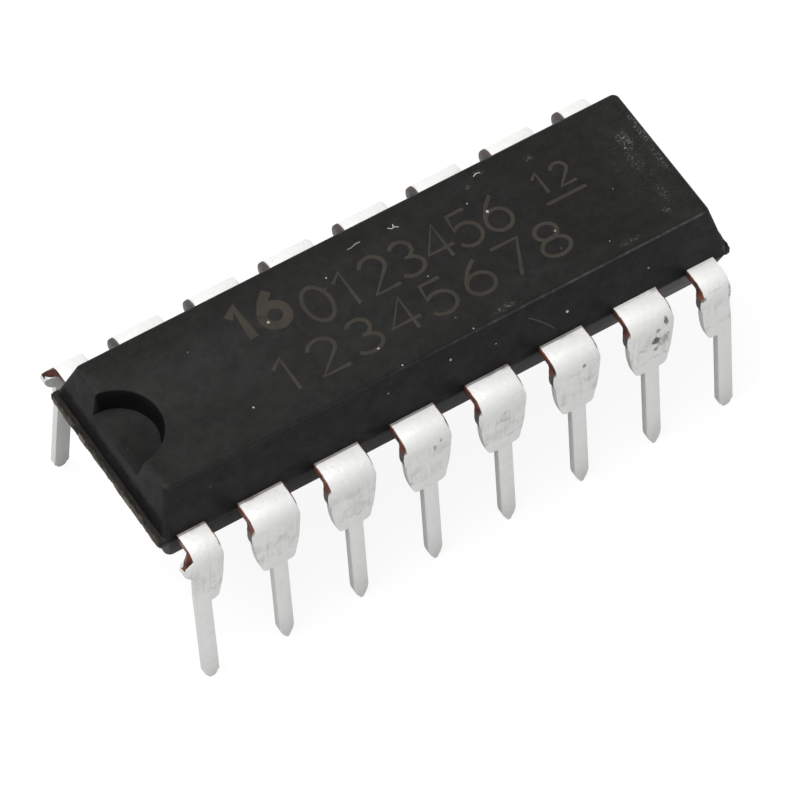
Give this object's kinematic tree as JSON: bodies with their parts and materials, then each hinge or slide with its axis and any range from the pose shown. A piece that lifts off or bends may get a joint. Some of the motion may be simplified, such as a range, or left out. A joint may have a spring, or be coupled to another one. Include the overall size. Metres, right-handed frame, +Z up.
{
  "type": "dip integrated circuit chip",
  "caption": "Dual in-line plastic package with rows of bent, tinned pins along its long sides and a half-round notch in one end of its moulded body.",
  "frame": {"origin": "middle of the package between its lead tips, on the surface it stands on", "axes": "+X along the body away from the notch, +Y towards the row of leads 9 to 16, +Z up out of the top face"},
  "size_m": [0.0193, 0.0088, 0.0075],
  "materials": {
    "moulding": "matte",
    "lead_plating": "satin",
    "frame_copper": "satin",
    "die_adhesive": "matte",
    "silicon": "gloss",
    "bond_gold": "gloss"
  },
  "bodies": {
    "root": {"body": "moulding", "die_pad": "frame_copper", "die_attach": "die_adhesive", "silicon_die": "silicon", "lead_1": "lead_plating", "lead_2": "lead_plating", "lead_3": "lead_plating", "lead_4": "lead_plating", "lead_5": "lead_plating", "lead_6": "lead_plating", "lead_7": "lead_plating", "lead_8": "lead_plating", "lead_9": "lead_plating", "lead_10": "lead_plating", "lead_11": "lead_plating", "lead_12": "lead_plating", "lead_13": "lead_plating", "lead_14": "lead_plating", "lead_15": "lead_plating", "lead_16": "lead_plating", "bond_wire_1": "bond_gold", "bond_wire_2": "bond_gold", "bond_wire_3": "bond_gold", "bond_wire_4": "bond_gold", "bond_wire_5": "bond_gold", "bond_wire_6": "bond_gold", "bond_wire_7": "bond_gold", "bond_wire_8": "bond_gold", "bond_wire_9": "bond_gold", "bond_wire_10": "bond_gold", "bond_wire_11": "bond_gold", "bond_wire_12": "bond_gold", "bond_wire_13": "bond_gold", "bond_wire_14": "bond_gold", "bond_wire_15": "bond_gold", "bond_wire_16": "bond_gold"}
  },
  "joints": []
}
